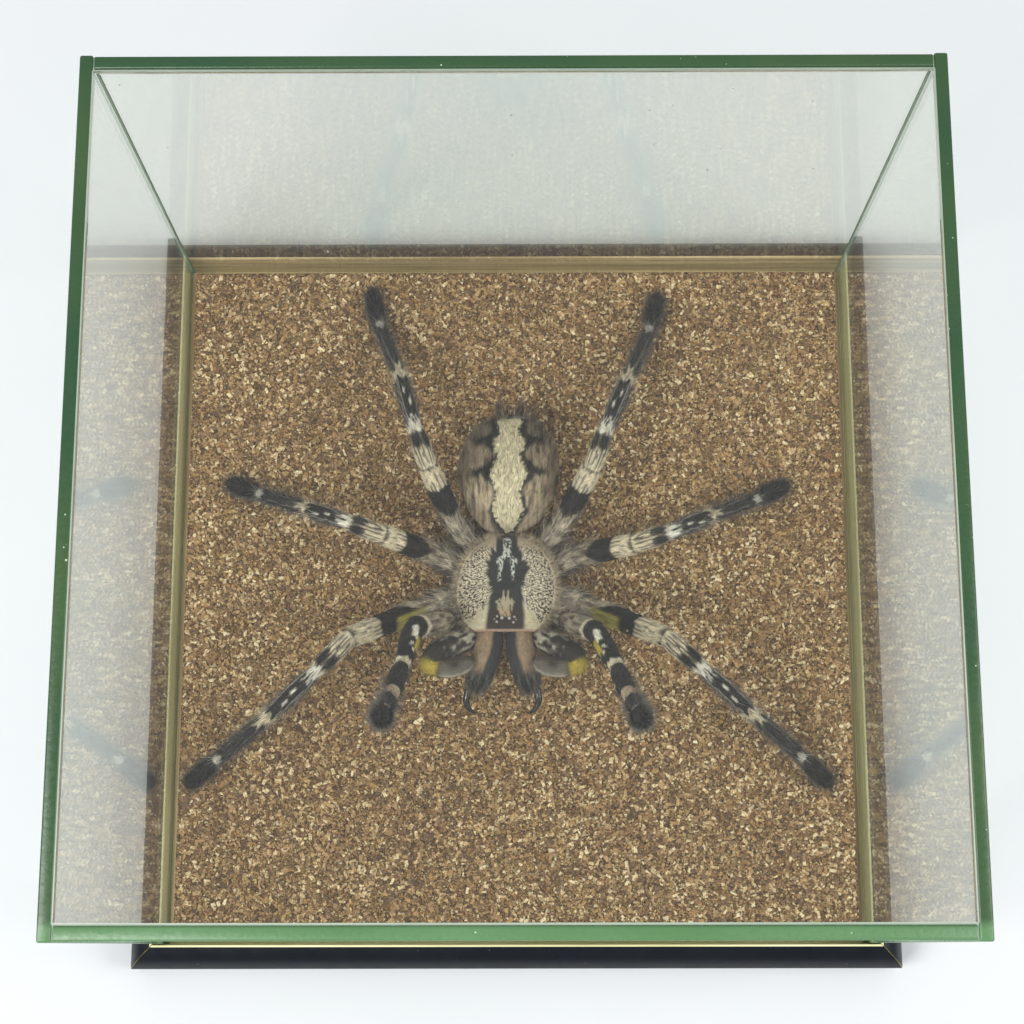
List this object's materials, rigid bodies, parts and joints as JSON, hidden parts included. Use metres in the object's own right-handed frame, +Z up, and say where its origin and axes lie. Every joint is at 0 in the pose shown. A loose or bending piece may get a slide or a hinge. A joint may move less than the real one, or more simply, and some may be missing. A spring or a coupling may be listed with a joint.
{
  "type": "tarantula specimen in a glass display case",
  "caption": "Dried banded tarantula in a raised defensive pose on a cork floor, under a clear glass case that stands in a black mitred wooden plinth.",
  "frame": {"origin": "middle of the plinth's underside, on the surface that it stands on", "axes": "+Z up; the spider's head and the case's front face -Y; +X is to the right as seen from the front"},
  "size_m": [0.203, 0.203, 0.142],
  "materials": {
    "black_lacquer": "satin black lacquer on wood, with a raw pale inner edge",
    "raw_wood": "raw",
    "cork": "raw agglomerated cork granules",
    "clear_glass": "clear, with a green cut edge",
    "carapace": "dry horn under short flat hair",
    "abdomen_fur": "short fur over dry skin",
    "leg_fur": "banded fur and bristles over dry skin",
    "jaw_fur": "short fur over horn",
    "fang_horn": "polished black horn"
  },
  "bodies": {
    "root": {"base_board": "raw_wood", "cork_sheet": "cork", "moulding_front": "black_lacquer", "moulding_back": "black_lacquer", "moulding_left": "black_lacquer", "moulding_right": "black_lacquer", "glass_front": "clear_glass", "glass_back": "clear_glass", "glass_left": "clear_glass", "glass_right": "clear_glass", "glass_top": "clear_glass", "cephalothorax": "carapace", "abdomen": "abdomen_fur", "chelicera_left": "jaw_fur", "fang_left": "fang_horn", "palp_left": "leg_fur", "spinneret_left": "leg_fur", "leg_1_left": "leg_fur", "leg_2_left": "leg_fur", "leg_3_left": "leg_fur", "leg_4_left": "leg_fur", "chelicera_right": "jaw_fur", "fang_right": "fang_horn", "palp_right": "leg_fur", "spinneret_right": "leg_fur", "leg_1_right": "leg_fur", "leg_2_right": "leg_fur", "leg_3_right": "leg_fur", "leg_4_right": "leg_fur"}
  },
  "joints": []
}
